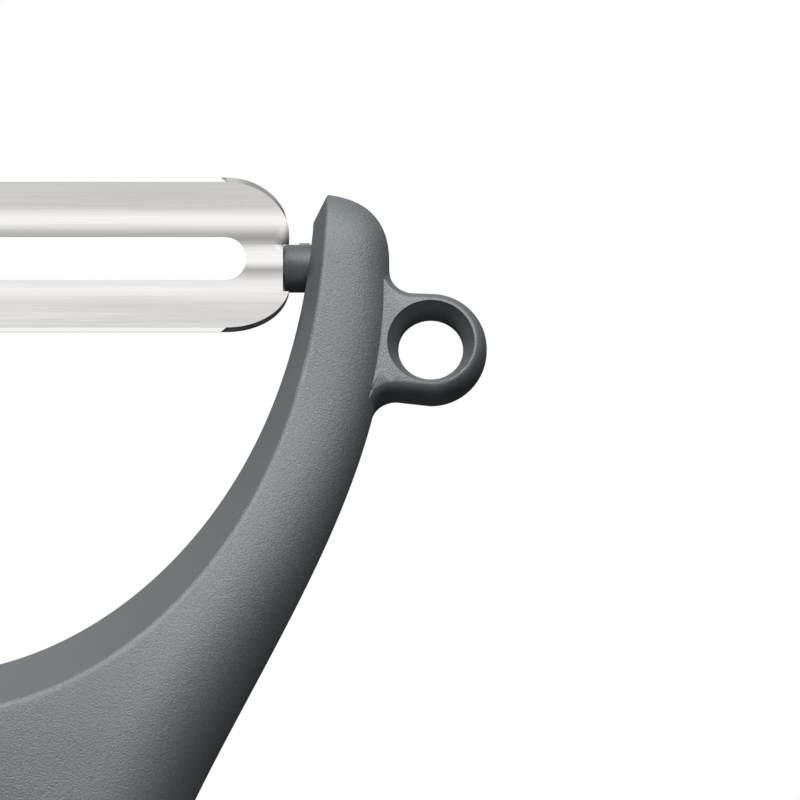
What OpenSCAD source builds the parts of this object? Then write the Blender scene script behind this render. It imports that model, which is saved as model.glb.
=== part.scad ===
// Vegetable peeler with a wide fork, a swivelling blade and a potato-eye ring on one arm.
// X runs across the blade, the front faces -Y and the fork is up. The origin is the centre
// of the hanging hole. Heights are measured along the gently bent centre line of the handle.

/* [Handle] */
// Width of the grip below the fork
stem_w = 30; // [24:0.5:38]
// Height of the blade's pivot axis above the hanging hole
pivot_height = 121; // [112:0.5:132]
// Rise of the arm tips above the pivot axis
tip_rise = 5.85; // [5.4:0.05:7]
// Length of the grip below the centre of the hanging hole
end_drop = 13; // [11:0.5:18]
// Height of the middle of the flare, where the grip widens, above the bottom of the arch
flare_rise = 3.45; // [1:0.05:7]
// Length of the flare
flare_len = 66; // [56:1:72]
// Thickness of the grip and of the fork's root
body_t = 14.4; // [12:0.2:17]
// Thickness of the arms
arm_t = 8.4; // [7.4:0.1:9.6]
// Width over which the grip's front rounds off to its side
body_round = 7.2; // [5:0.1:11]
// Width over which an arm's front rounds off to its side
arm_round = 4.4; // [3.4:0.1:6]
// Lean of the centre line at the hanging hole, in degrees, forward being negative
lean_at_hole = -6; // [-9:0.5:-3]
// Lean of the centre line at the pivot axis, in degrees, backward being positive
lean_at_pivot = 9.5; // [6:0.5:12]

/* [Arch between the arms] */
// Width of an arm at its tip, seen from the front
arm_w = 4.95; // [4:0.05:6.5]
// Gap between the end of the blade and the arm, at the arch's front edge
blade_gap = 3; // [2:0.1:4]
// Height of the arch at its front edge, from its bottom to the arm tips
arch_rise = 44.3; // [40:0.1:48]
// Width of the smooth bevel beside the arch, measured on an arm
bevel_side_w = 1.1; // [0.8:0.05:1.4]
// Width of the smooth bevel at the bottom of the arch
bevel_root_w = 4; // [3:0.1:5]
// Depth of that bevel on an arm
bevel_side_depth = 2; // [1.4:0.1:2.4]
// Depth of that bevel at the bottom of the arch
bevel_root_depth = 3.6; // [2.4:0.1:4.4]

/* [Potato-eye ring] */
// Outer diameter of the ring
ring_d = 8.95; // [8.4:0.05:10.5]
// Distance of the ring's sharp front and back rims inside its outer surface
rim_inset = 1; // [0.7:0.05:1.3]
// Distance of the hole's narrow middle inside the rims
waist_inset = 0.9; // [0.5:0.05:1.2]
// Length of the ring along its own axis
ring_len = 4.8; // [4:0.1:5.6]
// Distance from the outside of the arm to the centre of the ring
ring_out = 3.3; // [3:0.05:3.6]
// Distance of the ring's centre below the pivot axis
ring_drop = 6.8; // [6.4:0.05:8]

/* [Blade] */
// Length of the blade over its rounded corners
blade_len = 57.6; // [48:0.1:66]
// Height of the blade from cutting edge to cutting edge
blade_h = 12.25; // [11.4:0.05:13.4]
// Thickness of the sheet
sheet_t = 0.8; // [0.6:0.05:1]
// Distance of the middle of the blade's front from the pivot axis
blade_reach = 4.4; // [4:0.1:5]
// Distance of the pivot axis below the middle of the blade
axis_drop = 1; // [0:0.01:1.5]
// Angle by which the blade faces down at rest, in degrees
blade_tilt = 10; // [-10:1:20]
// Radius of the hollow between the two flanges
hollow_r = 8.3; // [6.8:0.1:10]
// Angle by which each flange is bent forward, in degrees
flange_angle = 28; // [22:1:34]
// Width of the blade's rounded corners
corner_w = 4.9; // [3.6:0.1:5.6]
// Height of its upper corners, seen from the front
corner_top_h = 4.3; // [3.4:0.1:4.8]
// Height of its lower corners, seen from the front
corner_low_h = 3.4; // [2.8:0.1:4.4]
// Width of the ground bevel along each cutting edge
ground_w = 0.2; // [0.1:0.05:0.4]
// Thickness left at a cutting edge
edge_t = 0.12; // [0.08:0.02:0.2]
// Distance from an end of the slot to the end of the blade
slot_margin = 3.4; // [2.8:0.1:6]
// Height of the slot
slot_h = 3.4; // [3:0.1:3.6]
// Distance of the slot below the middle of the blade
slot_drop = 0.27; // [0:0.01:0.6]

/* [Pivot] */
// Diameter of the plastic stub on each arm, and height of the blade's ears
stub_d = 3.84; // [3.6:0.02:4.2]
// Distance of an ear's outer face inside the end of the blade
ear_inset = 0.5; // [0.3:0.05:1]
// Gap between an ear and its stub
ear_gap = 0.12; // [0.08:0.01:0.2]
// Diameter of the steel pivot pins
pin_d = 1.8; // [1.5:0.05:2]
// Running clearance on radius between a pin and the hole in its ear
pin_clearance = 0.05; // [0.03:0.01:0.08]
// Diameter of a pin's head, inside the ear
pin_head_d = 2.9; // [2.6:0.05:3.3]
// Thickness of a pin's head
pin_head_t = 0.5; // [0.4:0.05:0.7]
// Length of pin that is pressed into the handle
pin_grip = 4.2; // [3.6:0.1:4.6]

/* [Grip details] */
// Diameter of the hanging hole
hang_hole_d = 7; // [5:0.5:9]
// Distance of the centre of the thumb dish below the bottom of the arch
dish_drop = 19.55; // [17:0.05:25]
// Diameter of the thumb dish
dish_d = 34; // [28:1:38]
// Depth of the thumb dish in the front and in the back of the grip
dish_depth = 0.8; // [0.4:0.1:1.4]

/* [Hidden] */

overrun = 1;

// The blade's length sets the arch, the ears, the slot and the fork
arch_w = blade_len + 2 * blade_gap;
fork_w = arch_w + 2 * arm_w;
ear_span = blade_len - 2 * ear_inset;
slot_len = blade_len - 2 * slot_margin;

// Centre line: a circular arc in the plane X = 0, upright at the height where its lean is zero.
lean_rate = (lean_at_pivot - lean_at_hole) / pivot_height;
spine_r = 180 / (PI * lean_rate);
function lean(s) = lean_at_hole + lean_rate * s;
function spine(s) = [0, spine_r * (cos(lean_at_hole) - cos(lean(s))),
                     spine_r * (sin(lean(s)) - sin(lean_at_hole))];
// A point x to the side of the centre line, at height s and at depth d behind it
function at(x, s, d) = spine(s) + [x, d * cos(lean(s)), -d * sin(lean(s))];
pivot = spine(pivot_height);

// A smooth step from a at height lo to b at height hi
function step(s, lo, hi, a, b) =
    let (t = max(0, min(1, (s - lo) / (hi - lo)))) a + (b - a) * (1 - cos(180 * t)) / 2;
function super(u, power) = pow(max(0, 1 - pow(abs(u), power)), 1 / power);

tip_height = pivot_height + tip_rise;
arch_root = tip_height - arch_rise;
flare_height = arch_root + flare_rise;
flare_low = flare_height - flare_len / 2;
flare_high = flare_height + flare_len / 2;
thin_low = flare_height - flare_len * 0.1;
thin_high = flare_height + flare_len * 0.4;

// Outline of the handle: flare, round shoulders at the tips and a round lower end
shoulder_power = 2.3;
shoulder_height = tip_height - tip_rise * 0.92;
end_power = 2.2;
end_len = end_drop * 1.15;
function outer(s) = s > shoulder_height
    ? arch_w / 2 + arm_w * super((s - shoulder_height) / (tip_height - shoulder_height), shoulder_power)
    : step(s, flare_low, flare_high, stem_w / 2, fork_w / 2) * end_share(s);
function end_share(s) = super(max(0, end_len - end_drop - s) / end_len, end_power);

// Half thickness: it thins up the arms, drops over their tips and rounds off at the lower end
tip_thin_share = 0.75;
function half_t(s) = step(s, thin_low, thin_high, body_t / 2, arm_t / 2)
    * sqrt(1 - tip_thin_share * pow(max(0, (s - pivot_height) / tip_rise), 2))
    * pow(end_share(s), 0.7);

// Across the front the section is a low crown that rounds off at the outer edge
crown_share = 0.06;
round_power = 2.2;
dish_height = arch_root - dish_drop;
function round_w(s) = min(outer(s), step(s, arch_root, pivot_height, body_round, arm_round));
function dish(x, s) = let (r2 = (x * x + pow(s - dish_height, 2)) / pow(dish_d / 2, 2))
    r2 > 1 ? 0 : dish_depth * pow(1 - r2, 2);
function front(x, s) = let (u = max(0, (x - outer(s) + round_w(s)) / round_w(s)))
    half_t(s) * (1 - crown_share * pow(x / outer(s), 2)) * super(u, round_power) - dish(x, s);

// The arch: its front edge, and the edge of its inner wall behind the smooth bevel
arch_power = 2.1;
wall_power = 2;
wall_root = arch_root + bevel_root_w;
wall_top = tip_height - bevel_root_w * 0.5;
function arch_x(s) = arch_w / 2 * super((tip_height - s) / arch_rise, arch_power);
function wall_x(s) = (arch_w / 2 - bevel_side_w)
    * super((tip_height - s) / (tip_height - wall_root), wall_power);
function bevel_depth(s) = step(s, arch_root, pivot_height, bevel_root_depth, bevel_side_depth);

bevel_limit_share = 0.7;

// Rows of points on one half of the handle, from the tip down, with the arch rows first
arch_rows = 28;
grip_rows = 20;
columns = 12;
row_size = 2 * columns + 3;
tip_trim = tip_rise * 0.02;
function arch_height(i) = tip_height - tip_trim
    - (arch_rise - tip_trim) * (1 - cos(180 * i / arch_rows)) / 2;
function wall_height(i) = wall_top - (wall_top - wall_root) * (1 - cos(180 * i / arch_rows)) / 2;
function grip_height(i) = arch_root
    - (arch_root + end_drop - tip_trim) * (1 - cos(180 * i / grip_rows)) / 2;
rows = arch_rows + grip_rows;
function row_height(i) = i <= arch_rows ? arch_height(i) : grip_height(i - arch_rows);

// One row: the front from the arch to the outside, the back to the arch again, then the wall
function half_row(i) =
    let (s = row_height(i),
         x0 = i < arch_rows ? arch_x(s) : 0,
         xs = [for (j = [0 : columns]) x0 + (outer(s) - x0) * sin(90 * j / columns)],
         depths = [for (j = [0 : columns]) j < columns ? front(xs[j], s) : 0],
         sw = wall_height(min(i, arch_rows)),
         xw = i < arch_rows ? wall_x(sw) : 0,
         dw = depths[0] - min(bevel_depth(s), depths[0] * bevel_limit_share))
    concat([for (j = [0 : columns]) at(xs[j], s, -depths[j])],
           [for (j = [columns - 1 : -1 : 0]) at(xs[j], s, depths[j])],
           [at(xw, sw, dw), at(xw, sw, -dw)]);
half_points = [for (i = [0 : rows]) each half_row(i)];
function mirrored(points) = [for (p = points) [-p.x, p.y, p.z]];

// Index of a point of one half (side 0 right, side 1 left). Points at x = 0 belong to both.
half_count = (rows + 1) * row_size;
function on_axis(i, j) = i >= arch_rows && (j == 0 || j >= 2 * columns);
function index(side, i, j) = i * row_size + j + (side == 1 && !on_axis(i, j) ? half_count : 0);
function turned(side, face) = side == 0 ? face : [face[2], face[1], face[0]];
function patch(side, i, j, k) = let (a = index(side, i, j), b = index(side, i, k),
                                     c = index(side, i + 1, k), d = index(side, i + 1, j))
    [turned(side, [a, b, c]), turned(side, [a, c, d])];
function lid(side, i) = [for (j = [0 : columns - 1])
    let (a = index(side, i, j), b = index(side, i, j + 1),
         c = index(side, i, 2 * columns - j - 1), d = index(side, i, 2 * columns - j))
    each [turned(side, [a, d, b]), if (c != b) turned(side, [b, d, c])]];
function upside(faces) = [for (f = faces) turned(1, f)];
function tip_corner(side) = let (a = index(side, 0, 0), b = index(side, 0, 2 * columns + 2),
                                 c = index(side, 0, 2 * columns + 1), d = index(side, 0, 2 * columns))
    [turned(side, [a, b, c]), turned(side, [a, c, d])];
body_faces = [for (side = [0, 1]) each concat(
    [for (i = [0 : arch_rows - 1], j = [0 : row_size - 1])
        each patch(side, i, j, (j + 1) % row_size)],
    [for (i = [arch_rows : rows - 1], j = [0 : 2 * columns - 1])
        each patch(side, i, j, j + 1)],
    lid(side, 0), tip_corner(side), upside(lid(side, rows)))];

module handle_body()
    polyhedron(points = concat(half_points, mirrored(half_points)), faces = body_faces);

// The eye remover: a ring on one arm, square to the arm's centre line, on a flat web
ring_height = pivot_height - ring_drop;
ring_x = fork_w / 2 + ring_out;
rim_d = ring_d - 2 * rim_inset;
ring_hole_d = rim_d - 2 * waist_inset;
rim_wall = 0.16;
ring_shoulder = ring_len * 0.305;
hole_waist = ring_len * 0.015;
module in_arm_frame(s) translate(spine(s)) rotate([-lean(s), 0, 0]) children();
module ring_frame() in_arm_frame(ring_height) translate([ring_x, 0, 0]) rotate([90, 0, 0]) children();
module ring_solid() rotate_extrude($fn = 96) polygon([
    [0, -ring_len / 2], [rim_d / 2 + rim_wall, -ring_len / 2],
    [ring_d / 2, -ring_len / 2 + ring_shoulder], [ring_d / 2, ring_len / 2 - ring_shoulder],
    [rim_d / 2 + rim_wall, ring_len / 2], [0, ring_len / 2]]);
module ring_bore() rotate_extrude($fn = 96) polygon([
    [0, -ring_len / 2 - overrun], [rim_d / 2, -ring_len / 2 - overrun], [rim_d / 2, -ring_len / 2],
    [ring_hole_d / 2, -hole_waist], [ring_hole_d / 2, hole_waist],
    [rim_d / 2, ring_len / 2], [rim_d / 2, ring_len / 2 + overrun], [0, ring_len / 2 + overrun]]);

// Outline of the web beside the ring: fillets that run from the arm's edge to the ring's top and
// bottom. It starts inside the arm and ends tucked under the ring's own surface.
web_sink = arm_w * 0.04;
web_root = arm_w * 0.3;
web_proud = ring_d * 0.003;
web_steps = 8;
function web_fillet(side) = ring_d * (side > 0 ? 0.22 : 0.18);
function web_waist(side) = ring_d * (side > 0 ? -0.005 : 0.035);
function arm_edge(side) = outer(ring_height + side * (ring_d / 2 + web_fillet(side))) - ring_x - web_sink;
function web_arc(side, t, inset) = let (r = web_fillet(side), a = 90 * t)
    [arm_edge(side) + r * (1 - cos(a)), side * (ring_d / 2 - web_waist(side) - inset + r * (1 - sin(a)))];
function web_side(side, inset) = concat(
    [[arm_edge(side) - web_root, side * (ring_d / 2 + web_fillet(side) - inset)]],
    [for (k = [0 : web_steps]) web_arc(side, k / web_steps, inset)],
    [[0, side * (ring_d / 2 + web_proud - inset)], (ring_d / 2 - inset) * [0.6, side * 0.6]]);
function reversed(list) = [for (k = [len(list) - 1 : -1 : 0]) list[k]];
function web_outline(inset) = concat(web_side(1, inset), reversed(web_side(-1, inset)));
module web() {
    inset = rim_inset - rim_wall;
    outline_count = 2 * web_steps + 8;
    levels = [[-ring_len / 2, inset], [-ring_len / 2 + ring_shoulder, 0],
              [ring_len / 2 - ring_shoulder, 0], [ring_len / 2, inset]];
    points = [for (level = levels, p = web_outline(level[1])) [p.x, p.y, level[0]]];
    walls = [for (l = [0 : len(levels) - 2], k = [0 : outline_count - 1])
        let (a = l * outline_count + k, b = l * outline_count + (k + 1) % outline_count,
             c = b + outline_count, d = a + outline_count) each [[a, b, c], [a, c, d]]];
    top = (len(levels) - 1) * outline_count;
    ends = [for (k = [0 : outline_count / 2 - 2]) let (m = outline_count - 1 - k)
        each [[k, m, k + 1], [k + 1, m, m - 1],
              [top + k, top + k + 1, top + m], [top + k + 1, top + m - 1, top + m]]];
    polyhedron(points = points, faces = concat(walls, ends));
}

// Stubs that carry the blade, each with a blind bore for its pin
stub_face = ear_span / 2 + ear_gap;
stub_root = arch_w / 2 + arm_w * 0.1;
lug_w = stub_d * 0.22;
lug_rise = stub_d * 0.02;
lug_depth = stub_d * 0.3;
module stub(side) translate(pivot) rotate([0, side * 90, 0])
    translate([0, 0, stub_face]) cylinder(d = stub_d, h = stub_root - stub_face, $fn = 64);
module stub_lug(side) in_arm_frame(pivot_height)
    translate([side * (wall_x(pivot_height) - lug_w / 2), 0, stub_d / 4 + lug_rise / 2])
    cube([lug_w, lug_depth, stub_d / 2 + lug_rise], center = true);
module pin_bore(side) translate(pivot) rotate([0, side * 90, 0])
    translate([0, 0, stub_face - overrun]) cylinder(d = pin_d, h = pin_grip + overrun, $fn = 48);

module handle() color([0.27, 0.28, 0.3]) difference() {
    union() {
        handle_body();
        ring_frame() { ring_solid(); web(); }
        for (side = [-1, 1]) {
            stub(side);
            stub_lug(side);
        }
    }
    ring_frame() ring_bore();
    for (side = [-1, 1]) pin_bore(side);
    rotate([90, 0, 0]) cylinder(d = hang_hole_d, h = 2 * body_t, center = true, $fn = 96);
}

// Section of the blade: x is the distance behind the front of its middle, y the height above it
flange_rise = blade_h / 2 - (hollow_r + sheet_t) * sin(flange_angle);
flange_len = flange_rise / cos(flange_angle);
hollow_steps = 12;
function hollow_point(k, t) = let (a = flange_angle * k / hollow_steps)
    [(hollow_r + t) * cos(a) - hollow_r, (hollow_r + t) * sin(a)];
function flange_point(along, t) =
    hollow_point(hollow_steps, t) + along * [-sin(flange_angle), cos(flange_angle)];
edge_points = [flange_point(flange_len - ground_w, 0), flange_point(flange_len, sheet_t - edge_t),
               flange_point(flange_len, sheet_t)];
section = concat([for (k = [-hollow_steps : hollow_steps]) hollow_point(k, 0)], edge_points,
    [for (k = [hollow_steps : -1 : -hollow_steps]) hollow_point(k, sheet_t)],
    reversed([for (p = edge_points) [p.x, -p.y]]));

module blade_outline() hull() for (sx = [-1, 1], sy = [-1, 1]) {
    corner_h = sy > 0 ? corner_top_h : corner_low_h;
    translate([sx * (blade_len / 2 - corner_w), sy * (blade_h / 2 - corner_h)])
        scale([corner_w, corner_h]) circle(r = 1, $fn = 64);
}
module slot_outline() {
    square([slot_len - slot_h, slot_h], center = true);
    for (side = [-1, 1]) translate([side * (slot_len - slot_h) / 2, 0]) circle(d = slot_h, $fn = 48);
}
module ear(side) {
    inner = ear_span / 2 - sheet_t;
    rotate([0, side * 90, 0]) translate([0, 0, inner]) cylinder(d = stub_d, h = sheet_t, $fn = 64);
    translate([side > 0 ? inner : -ear_span / 2, -blade_reach, -stub_d / 2])
        cube([sheet_t, blade_reach, stub_d]);
}
module across_blade(z) translate([0, blade_h, z]) rotate([90, 0, 0]) linear_extrude(2 * blade_h) children();
module blade() color([0.8, 0.79, 0.77]) translate(pivot) rotate([blade_tilt, 0, 0]) difference() {
    union() {
        difference() {
            intersection() {
                translate([-blade_len / 2, -blade_reach, axis_drop]) rotate([90, 0, 90])
                    linear_extrude(blade_len) polygon(section);
                across_blade(axis_drop) blade_outline();
            }
            across_blade(axis_drop - slot_drop) slot_outline();
            for (side = [-1, 1]) translate([side * (ear_span / 2 + overrun), -blade_reach, 0])
                cube([2 * overrun, blade_h, stub_d], center = true);
        }
        for (side = [-1, 1]) ear(side);
    }
    rotate([0, 90, 0]) cylinder(r = pin_d / 2 + pin_clearance, h = blade_len, center = true, $fn = 48);
}

module pivot_pin(side) color([0.72, 0.72, 0.72]) translate(pivot) rotate([0, side * 90, 0]) {
    head = ear_span / 2 - sheet_t - ear_gap - pin_head_t;
    translate([0, 0, head]) cylinder(d = pin_head_d, h = pin_head_t, $fn = 48);
    translate([0, 0, head]) cylinder(d = pin_d, h = stub_face + pin_grip - head, $fn = 48);
}
module pivot_pin_left() pivot_pin(-1);
module pivot_pin_right() pivot_pin(1);

handle();
blade();
pivot_pin_left();
pivot_pin_right();
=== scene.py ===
# %% [markdown]
# A fork peeler is one moulding of charcoal plastic with a swivelling strip of steel between its
# arms. The engineering model is loaded first and stays fixed. Each visible piece is then made
# again round it with softer edges and real finishes, in the same place and at the same size.

# %% Load the engineering model
import math

import bmesh
import bpy
from mathutils import Matrix, Vector


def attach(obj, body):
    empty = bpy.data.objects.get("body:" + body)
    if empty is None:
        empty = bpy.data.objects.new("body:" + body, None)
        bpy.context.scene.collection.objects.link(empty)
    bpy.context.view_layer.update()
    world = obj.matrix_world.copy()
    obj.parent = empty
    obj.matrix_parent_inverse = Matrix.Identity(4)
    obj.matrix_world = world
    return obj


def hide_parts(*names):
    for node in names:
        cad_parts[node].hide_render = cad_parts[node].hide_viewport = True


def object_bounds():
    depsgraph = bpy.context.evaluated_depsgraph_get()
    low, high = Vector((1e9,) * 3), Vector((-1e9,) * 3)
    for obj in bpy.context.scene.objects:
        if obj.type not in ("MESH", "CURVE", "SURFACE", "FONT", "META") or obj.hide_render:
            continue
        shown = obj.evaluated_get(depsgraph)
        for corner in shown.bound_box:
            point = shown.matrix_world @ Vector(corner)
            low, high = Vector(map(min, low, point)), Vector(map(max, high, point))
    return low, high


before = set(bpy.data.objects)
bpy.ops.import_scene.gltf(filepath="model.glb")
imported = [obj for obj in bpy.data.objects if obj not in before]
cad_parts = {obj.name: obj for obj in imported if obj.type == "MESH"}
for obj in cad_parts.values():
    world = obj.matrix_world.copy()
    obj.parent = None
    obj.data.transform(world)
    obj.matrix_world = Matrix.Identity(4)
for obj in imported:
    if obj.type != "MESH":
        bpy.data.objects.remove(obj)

cad_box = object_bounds()
print("CAD box in metres", [round(v, 4) for corner in cad_box for v in corner])

# %% [markdown]
# The picture is taken from in front and a little below, so the camera looks up by ten degrees.
# A long lens keeps the arms parallel, as a catalogue picture does. The background is pure white.

# %% Camera
MM = 0.001
look_up = math.radians(10)
aim = Vector((37.6, 5.495, 110.232)) * MM
sight = Vector((0, math.cos(look_up), math.sin(look_up)))
above_sight = Vector((0, -math.sin(look_up), math.cos(look_up)))
camera_distance, focal_length = 0.6, 337.5

camera = bpy.data.objects.new("camera", bpy.data.cameras.new("camera"))
bpy.context.scene.collection.objects.link(camera)
bpy.context.scene.camera = camera
camera.data.lens = focal_length
camera.data.clip_start, camera.data.clip_end = 0.01, 20
camera.location = aim - sight * camera_distance
camera.rotation_euler = (math.radians(90) + look_up, 0, 0)
bpy.context.scene.view_settings.view_transform = "Standard"
print("camera at", [round(v, 4) for v in camera.location])

# %% [markdown]
# Node trees are easier to read when one line makes one node. This helper takes the tree, the kind
# of node, what goes into its sockets (a value, or another node's output) and any other settings.

# %% Helpers for node trees
def add_node(tree, kind, sockets=None, **settings):
    node = tree.nodes.new(kind)
    for name, value in settings.items():
        setattr(node, name, value)
    for name, value in (sockets or {}).items():
        if isinstance(value, bpy.types.NodeSocket):
            tree.links.new(value, node.inputs[name])
        else:
            node.inputs[name].default_value = value
    return node


def add_maths(tree, operation, a, b=0.0):
    return add_node(tree, "ShaderNodeMath", {0: a, 1: b}, operation=operation).outputs[0]


def mix_colours(tree, share, a, b, blend="MIX"):
    node = add_node(tree, "ShaderNodeMix", {0: share, 6: a, 7: b}, data_type="RGBA", blend_type=blend)
    return node.outputs[2]


# %% [markdown]
# Polished and brushed steel has hardly any colour of its own: it shows the studio. The world is
# therefore painted by angle about the blade's length, as strips of soft boxes round the object
# would look. Only rays from a mirror or through glass see the strips. The camera sees white, and
# matt surfaces get a low, even fill from the same world.

# %% Studio walls
world = bpy.data.worlds.new("studio")
bpy.context.scene.world = world
world.use_nodes = True
sky = world.node_tree
sky.nodes.clear()

direction = add_node(sky, "ShaderNodeTexCoord").outputs["Generated"]


def along(axis):
    node = add_node(sky, "ShaderNodeVectorMath", {0: direction, 1: axis}, operation="DOT_PRODUCT")
    return node.outputs["Value"]


turn = add_maths(sky, "ARCTAN2", along(above_sight), along(-sight))
turn_share = add_maths(sky, "MULTIPLY_ADD", turn, 1 / math.tau)
turn_share.node.inputs[2].default_value = 0.5

# Degrees above the camera's line of sight, and how bright the studio is there
brightest = 1.25
studio_strips = [(-180, 0.06), (-92, 0.04), (-80, 0.1), (-71, 0.6), (-67, 1.05), (-62, 1.05),
                 (-58, 0.74), (-55, 0.72), (-50, 0.86), (-41, 1.2), (-34, 1.12), (-27, 0.8), (-20, 0.46),
                 (-15, 0.42), (-10, 0.78), (-5, 1.1), (0, 1.2), (10, 1.15), (14.5, 0.6), (17, 0.45),
                 (21, 0.65), (28, 0.95), (38, 1.1), (49, 0.95), (56, 0.78), (60, 0.8),
                 (66, 1.15), (92, 1.2), (110, 0.8), (124, 0.7), (150, 0.65), (180, 0.12)]
ramp = add_node(sky, "ShaderNodeValToRGB", {0: turn_share})
points = ramp.color_ramp.elements
for degrees, bright in studio_strips[1:-1]:
    points.new(degrees / 360 + 0.5)
for point, (degrees, bright) in zip(points, studio_strips):
    point.color = (bright / brightest, bright / brightest, bright / brightest, 1)
print("studio strips", len(points))

# %% [markdown]
# The strips grow dark towards both ends of the blade, so its folded ends show a dark edge. Further
# round they grow lighter again, or the steel would look black from the sides. The back wall keeps
# its light, because the cut edge of the upper corner reflects it.

# %% Dark ends of the studio
sideways = add_maths(sky, "ABSOLUTE", along((1, 0, 0)))
end_ramp = add_node(sky, "ShaderNodeValToRGB", {0: sideways})
back_wall_from, back_wall_light = 105, 0.6
end_strips = [(0.12, 1.0), (0.45, 0.06), (0.52, 0.08), (0.66, 0.42), (1.0, 0.5)]
for at, bright in end_strips[1:-1]:
    end_ramp.color_ramp.elements.new(at)
for point, (at, bright) in zip(end_ramp.color_ramp.elements, end_strips):
    point.position, point.color = at, (bright, bright, bright, 1)
on_back_wall = add_maths(sky, "GREATER_THAN", turn_share, back_wall_from / 360 + 0.5)
back_wall = add_maths(sky, "MULTIPLY", on_back_wall, back_wall_light)
end_shade = add_maths(sky, "MULTIPLY", add_maths(sky, "MAXIMUM", end_ramp.outputs["Color"], back_wall),
                      brightest)
strips = mix_colours(sky, 1.0, ramp.outputs["Color"], end_shade, "MULTIPLY")
ray = add_node(sky, "ShaderNodeLightPath").outputs
mirror_ray = add_maths(sky, "MAXIMUM", ray["Is Glossy Ray"], ray["Is Transmission Ray"])
fill = mix_colours(sky, mirror_ray, (0.05, 0.05, 0.05, 1), strips)
seen = mix_colours(sky, ray["Is Camera Ray"], fill, (1, 1, 1, 1))
background = add_node(sky, "ShaderNodeBackground", {"Color": seen, "Strength": 1.0})
add_node(sky, "ShaderNodeOutputWorld", {"Surface": background.outputs[0]})

# %% [markdown]
# The plastic is lit by two soft lamps, high in front at both sides of the camera, the left one
# stronger. Its own colour is dark: most of what shows is the broad gloss of these lamps. So far to
# the sides they leave no streak on the blade. A weak lamp behind lights the back, and no mirror
# sees that one. A lamp's watts follow from its distance, so that a strength of 1 shows a matt
# colour about as it is written.

# %% Lamps
def add_lamp(name, left, above, distance, size, strength):
    left, above = math.radians(left), math.radians(above)
    towards = Vector((-math.sin(left) * math.cos(above), -math.cos(left) * math.cos(above), math.sin(above)))
    lamp = bpy.data.objects.new(name, bpy.data.lights.new(name, "AREA"))
    bpy.context.scene.collection.objects.link(lamp)
    lamp.location = aim + towards * distance
    lamp.rotation_mode = "QUATERNION"
    lamp.rotation_quaternion = towards.to_track_quat("Z", "Y")
    lamp.data.size = size
    lamp.data.energy = strength * (math.pi * distance) ** 2
    lamp.visible_camera = False
    print(name, "watts", round(lamp.data.energy, 2))
    return lamp


add_lamp("left_lamp", left=34, above=42, distance=0.46, size=0.15, strength=0.88)
add_lamp("right_lamp", left=-32, above=42, distance=0.46, size=0.15, strength=0.6)
back_lamp = add_lamp("back_lamp", left=165, above=12, distance=1.2, size=0.5, strength=1.0)
back_lamp.visible_glossy = False

# %% [markdown]
# The floor lies under the lowest point of the grip. It is pale for the camera, and darker for the
# light that it throws back, so that the underside of each edge stays dark as on the real one.

# %% Floor
def add_floor(size, height):
    mesh = bmesh.new()
    bmesh.ops.create_grid(mesh, x_segments=2, y_segments=2, size=size)
    bmesh.ops.translate(mesh, vec=(0, 0, height), verts=mesh.verts)
    data = bpy.data.meshes.new("floor")
    mesh.to_mesh(data)
    mesh.free()
    floor = bpy.data.objects.new("floor", data)
    bpy.context.scene.collection.objects.link(floor)
    floor.visible_glossy = False
    return floor


floor_gap = 0.0004
floor = add_floor(size=4, height=cad_box[0].z - floor_gap)
paint = bpy.data.materials.new("floor_paint")
paint.use_nodes = True
tree = paint.node_tree
ray = add_node(tree, "ShaderNodeLightPath").outputs
seen_ray = add_maths(tree, "MAXIMUM", ray["Is Camera Ray"],
                     add_maths(tree, "MAXIMUM", ray["Is Glossy Ray"], ray["Is Transmission Ray"]))
cloud = add_node(tree, "ShaderNodeTexNoise", {"Scale": 3.0, "Detail": 2.0}).outputs["Fac"]
pale = mix_colours(tree, cloud, (0.86, 0.86, 0.86, 1), (0.9, 0.9, 0.9, 1))
shade = tree.nodes["Principled BSDF"]
tree.links.new(mix_colours(tree, seen_ray, (0.12, 0.12, 0.12, 1), pale), shade.inputs["Base Color"])
shade.inputs["Roughness"].default_value = 0.9
shade.inputs["Specular IOR Level"].default_value = 0.1
floor.data.materials.append(paint)
print("floor at", round(floor.data.vertices[0].co.z, 4))

# %% [markdown]
# Moulded plastic like this is spark-eroded: its front carries a fine grain of about a fifth of a
# millimetre. The grain makes three things at once, a slightly mottled tone, a roughness that
# varies and a height for bump. It is one group, so both plastics share it at their own strength.

# %% A helper for groups, and the moulded grain
def new_group(name, inputs, outputs):
    group = bpy.data.node_groups.new(name, "ShaderNodeTree")
    for label, value in inputs.items():
        kind = "NodeSocketVector" if value is None else "NodeSocketFloat"
        socket = group.interface.new_socket(label, in_out="INPUT", socket_type=kind)
        if value is not None:
            socket.default_value = value
    for label in outputs:
        group.interface.new_socket(label, in_out="OUTPUT", socket_type="NodeSocketFloat")
    return group, add_node(group, "NodeGroupInput").outputs, add_node(group, "NodeGroupOutput")


def spread(tree, value, low, high, start=0.3, end=0.7):
    return add_node(tree, "ShaderNodeMapRange", {0: value, 1: start, 2: end, 3: low, 4: high}).outputs[0]


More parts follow.
